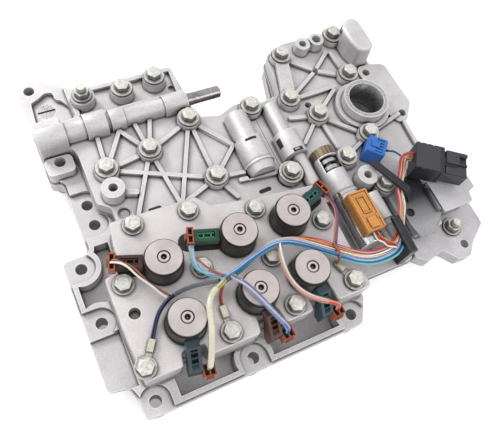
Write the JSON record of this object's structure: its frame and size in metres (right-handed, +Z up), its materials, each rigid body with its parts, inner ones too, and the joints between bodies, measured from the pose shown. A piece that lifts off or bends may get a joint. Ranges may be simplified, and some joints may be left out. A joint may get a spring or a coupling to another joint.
{
  "type": "transmission valve body",
  "caption": "Hydraulic control valve body of an automatic transmission, with its manual valve, solenoids, wiring and connectors.",
  "frame": {"origin": "on the flat seating face of the lower casting, near the middle of the body", "axes": "+X along the manual valve towards its open end, +Y from the wiring side towards the manual valve, +Z up from the seating face to the solenoids"},
  "size_m": [0.3152, 0.2815, 0.0752],
  "materials": {
    "cast_aluminium": "as cast, light warm grey, fine grain",
    "plate_aluminium": "as cast, slightly pink grey",
    "sheet_steel": "plain sheet",
    "plated_steel": "bright zinc plating with a faint yellow green tint",
    "machined_steel": "ground",
    "spring_steel": "drawn wire",
    "bronze_steel": "brown toothed sleeve",
    "polished_can": "polished drawn can",
    "grey_plastic": "moulded",
    "dark_steel": "dark coated sheet",
    "black_plastic": "moulded",
    "blue_plastic": "moulded",
    "orange_plastic": "moulded",
    "arm_plastic": "moulded, a different dark colour on each",
    "wire_insulation": "wires in several colours, some in clear sleeve",
    "tinned_metal": "tinned",
    "solenoid_steel": "dark can with a turned pale steel disc"
  },
  "bodies": {
    "valve_body": {"accumulator_cap": "cast_aluminium", "accumulator_spring": "spring_steel", "bore_plugs": "machined_steel", "bracket": "dark_steel", "casting_bolts": "plated_steel", "corner_casting": "cast_aluminium", "cup_plug": "machined_steel", "ground_lead_centre": "wire_insulation", "ground_lead_left": "wire_insulation", "ground_lead_right": "wire_insulation", "guide_bar": "black_plastic", "harness_trunk": "wire_insulation", "intake_casting": "cast_aluminium", "large_washer": "plated_steel", "main_casting": "cast_aluminium", "main_connector": "black_plastic", "plate_bolts": "plated_steel", "pressure_connector": "orange_plastic", "pressure_lead": "wire_insulation", "pressure_solenoid": "polished_can", "pressure_switch": "grey_plastic", "regulator_adjuster": "bronze_steel", "regulator_spring": "spring_steel", "relief_spring": "spring_steel", "ring_terminals": "tinned_metal", "sensor_connector": "blue_plastic", "sensor_lead": "wire_insulation", "separator_plate": "sheet_steel", "slotted_plug": "machined_steel", "solenoid_1": "solenoid_steel", "solenoid_2": "solenoid_steel", "solenoid_3": "solenoid_steel", "solenoid_4": "solenoid_steel", "solenoid_5": "solenoid_steel", "solenoid_6": "solenoid_steel", "solenoid_arm_1": "arm_plastic", "solenoid_arm_2": "arm_plastic", "solenoid_arm_3": "arm_plastic", "solenoid_arm_4": "arm_plastic", "solenoid_arm_5": "arm_plastic", "solenoid_arm_6": "arm_plastic", "solenoid_lead_1": "wire_insulation", "solenoid_lead_2": "wire_insulation", "solenoid_lead_3": "wire_insulation", "solenoid_lead_4": "wire_insulation", "solenoid_lead_5": "wire_insulation", "solenoid_lead_6": "wire_insulation", "solenoid_plate": "plate_aluminium", "solenoid_plug_1": "orange_plastic", "solenoid_plug_2": "orange_plastic", "solenoid_plug_3": "orange_plastic", "solenoid_plug_4": "orange_plastic", "solenoid_plug_5": "orange_plastic", "solenoid_plug_6": "orange_plastic", "stud_bolts": "plated_steel", "upper_casting": "cast_aluminium"},
    "manual_valve": {"manual_valve": "machined_steel"},
    "accumulator_piston": {"accumulator_piston": "machined_steel"},
    "relief_valve": {"relief_valve": "machined_steel"},
    "regulator_spool": {"regulator_spool": "machined_steel"}
  },
  "joints": [
    {"name": "manual_valve_slide", "type": "slide", "parent": "valve_body", "child": "manual_valve", "axis": [1, 0, 0], "range_m": [-0.012, 0.012]},
    {"name": "accumulator_slide", "type": "slide", "parent": "valve_body", "child": "accumulator_piston", "axis": [0, -1, 0], "range_m": [0, 0.004], "stiffness_N_per_m": 1500, "springref_m": -0.003, "deforming": ["accumulator_spring"]},
    {"name": "relief_slide", "type": "slide", "parent": "valve_body", "child": "relief_valve", "axis": [0, 1, 0], "range_m": [0, 0.003], "stiffness_N_per_m": 800, "springref_m": -0.003, "deforming": ["relief_spring"]},
    {"name": "regulator_slide", "type": "slide", "parent": "valve_body", "child": "regulator_spool", "axis": [0, 1, 0], "range_m": [0, 0.002], "stiffness_N_per_m": 800, "springref_m": -0.002, "deforming": ["regulator_spring"]}
  ]
}
